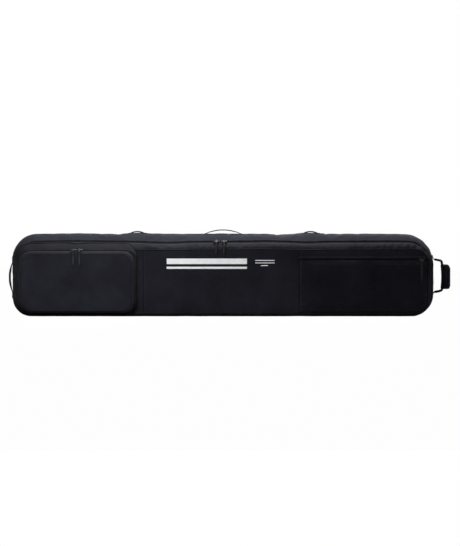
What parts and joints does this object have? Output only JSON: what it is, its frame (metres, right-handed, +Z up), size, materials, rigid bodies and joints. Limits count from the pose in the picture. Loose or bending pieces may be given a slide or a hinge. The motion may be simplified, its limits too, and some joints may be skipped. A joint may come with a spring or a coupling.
{
  "type": "snowboard bag",
  "caption": "Long padded snowboard bag with a fold-down lid on a full-wrap zip, a boot pocket, a sleeve pocket, a carry handle, strap loops and grab handles at both ends.",
  "frame": {"origin": "middle of the flat bottom face, under the body of the bag, which stands on its long bottom edge", "axes": "+X along the bag towards the padded grab handle, -Y out of the lid, +Z up"},
  "size_m": [1.7748, 0.2044, 0.3478],
  "materials": {
    "shell_cloth": "matt woven polyester",
    "base_cloth": "coated abrasion cloth",
    "webbing": "ribbed webbing",
    "grip": "padded wrap",
    "zip_tape": "coil zip on woven tape",
    "lining": "smooth lining",
    "foam": "closed-cell foam",
    "slider": "black lacquer",
    "pull": "moulded",
    "buckle": "moulded"
  },
  "bodies": {
    "shell": {"back_foam": "foam", "back_lining": "lining", "back_panel": "shell_cloth", "bottom_panel": "base_cloth", "carry_handle_anchor_left": "webbing", "carry_handle_anchor_right": "webbing", "end_grab_anchor_low": "webbing", "end_grab_anchor_top": "webbing", "hinge_binding": "base_cloth", "lash_tab": "webbing", "left_grab_handle_anchor_low": "webbing", "left_grab_handle_anchor_top": "webbing", "main_zip_tape_rear": "zip_tape", "rear_gusset_left": "shell_cloth", "rear_gusset_right": "shell_cloth", "rear_gusset_top": "shell_cloth", "strap_loop_left_anchor_left": "webbing", "strap_loop_left_anchor_right": "webbing", "strap_loop_right_anchor_left": "webbing", "strap_loop_right_anchor_right": "webbing", "tie_down_buckle_left": "buckle", "tie_down_buckle_right": "buckle", "tie_down_strap_left": "webbing", "tie_down_strap_right": "webbing"},
    "lid": {"front_panel": "shell_cloth", "lid_gusset_left": "shell_cloth", "lid_gusset_right": "shell_cloth", "lid_gusset_top": "shell_cloth", "main_zip_tape_lid": "zip_tape", "front_foam": "foam", "front_lining": "lining", "pocket_gusset": "shell_cloth", "pocket_zip_tape_upper": "zip_tape", "sleeve_panel": "shell_cloth", "sleeve_zip_tape_lower": "zip_tape", "sleeve_zip_tape_upper": "zip_tape"},
    "pocket_flap": {"pocket_face": "shell_cloth", "pocket_zip_tape_lower": "zip_tape"},
    "main_left_slider": {"main_left_slider": "slider"},
    "main_left_pull": {"main_left_pull": "pull"},
    "main_right_slider": {"main_right_slider": "slider"},
    "main_right_pull": {"main_right_pull": "pull"},
    "pocket_left_slider": {"pocket_left_slider": "slider"},
    "pocket_left_pull": {"pocket_left_pull": "pull"},
    "pocket_right_slider": {"pocket_right_slider": "slider"},
    "pocket_right_pull": {"pocket_right_pull": "pull"},
    "sleeve_slider": {"sleeve_slider": "slider"},
    "sleeve_pull": {"sleeve_pull": "pull"},
    "carry_handle": {"carry_handle": "webbing"},
    "strap_loop_left": {"strap_loop_left": "webbing"},
    "strap_loop_right": {"strap_loop_right": "webbing"},
    "left_grab_handle": {"left_grab_handle": "webbing"},
    "end_grab": {"end_grab_webbing": "webbing", "end_grab_grip": "grip"}
  },
  "joints": [
    {"name": "lid_fold", "type": "hinge", "parent": "shell", "child": "lid", "pos_m": [0, -0.08, 0.014], "axis": [1, 0, 0], "range_deg": [0, 90]},
    {"name": "pocket_flap_fold", "type": "hinge", "parent": "lid", "child": "pocket_flap", "pos_m": [-0.579, -0.108, 0.0164], "axis": [1, 0, 0], "range_deg": [0, 85]},
    {"name": "main_left_slide", "type": "slide", "parent": "lid", "child": "main_left_slider", "axis": [-1, 0, 0], "range_m": [0, 0.28]},
    {"name": "main_left_pull_swing", "type": "hinge", "parent": "main_left_slider", "child": "main_left_pull", "pos_m": [-0.026, -0.06865, 0.30465], "axis": [-1, 0, 0], "range_deg": [0, 120]},
    {"name": "main_right_slide", "type": "slide", "parent": "lid", "child": "main_right_slider", "axis": [1, 0, 0], "range_m": [0, 0.71]},
    {"name": "main_right_pull_swing", "type": "hinge", "parent": "main_right_slider", "child": "main_right_pull", "pos_m": [0.005, -0.06865, 0.30465], "axis": [-1, 0, 0], "range_deg": [0, 120]},
    {"name": "pocket_left_slide", "type": "slide", "parent": "pocket_flap", "child": "pocket_left_slider", "axis": [-1, 0, 0], "range_m": [0, 0.155]},
    {"name": "pocket_left_pull_swing", "type": "hinge", "parent": "pocket_left_slider", "child": "pocket_left_pull", "pos_m": [-0.598, -0.11524, 0.2712], "axis": [-1, 0, 0], "range_deg": [0, 120]},
    {"name": "pocket_right_slide", "type": "slide", "parent": "pocket_flap", "child": "pocket_right_slider", "axis": [1, 0, 0], "range_m": [0, 0.175]},
    {"name": "pocket_right_pull_swing", "type": "hinge", "parent": "pocket_right_slider", "child": "pocket_right_pull", "pos_m": [-0.573, -0.11524, 0.2712], "axis": [-1, 0, 0], "range_deg": [0, 120]},
    {"name": "sleeve_slide", "type": "slide", "parent": "lid", "child": "sleeve_slider", "axis": [-1, 0, 0], "range_m": [0, 0.46]},
    {"name": "sleeve_pull_swing", "type": "hinge", "parent": "sleeve_slider", "child": "sleeve_pull", "pos_m": [0.795, -0.0984, 0.2285], "axis": [-1, 0, 0], "range_deg": [0, 120]},
    {"name": "carry_handle_lean", "type": "hinge", "parent": "shell", "child": "carry_handle", "pos_m": [0, 0.006, 0.3283], "axis": [1, 0, 0], "range_deg": [-25, 25]},
    {"name": "strap_loop_left_lean", "type": "hinge", "parent": "shell", "child": "strap_loop_left", "pos_m": [-0.344, 0.006, 0.3283], "axis": [1, 0, 0], "range_deg": [-20, 20]},
    {"name": "strap_loop_right_lean", "type": "hinge", "parent": "shell", "child": "strap_loop_right", "pos_m": [0.352, 0.006, 0.3283], "axis": [1, 0, 0], "range_deg": [-20, 20]},
    {"name": "left_grab_lean", "type": "hinge", "parent": "shell", "child": "left_grab_handle", "pos_m": [-0.8443, 0.006, 0.156], "axis": [0, 0, 1], "range_deg": [-25, 25]},
    {"name": "end_grab_swing", "type": "hinge", "parent": "shell", "child": "end_grab", "pos_m": [0.8583, 0.006, 0.162], "axis": [0, 0, 1], "range_deg": [-30, 30]}
  ]
}
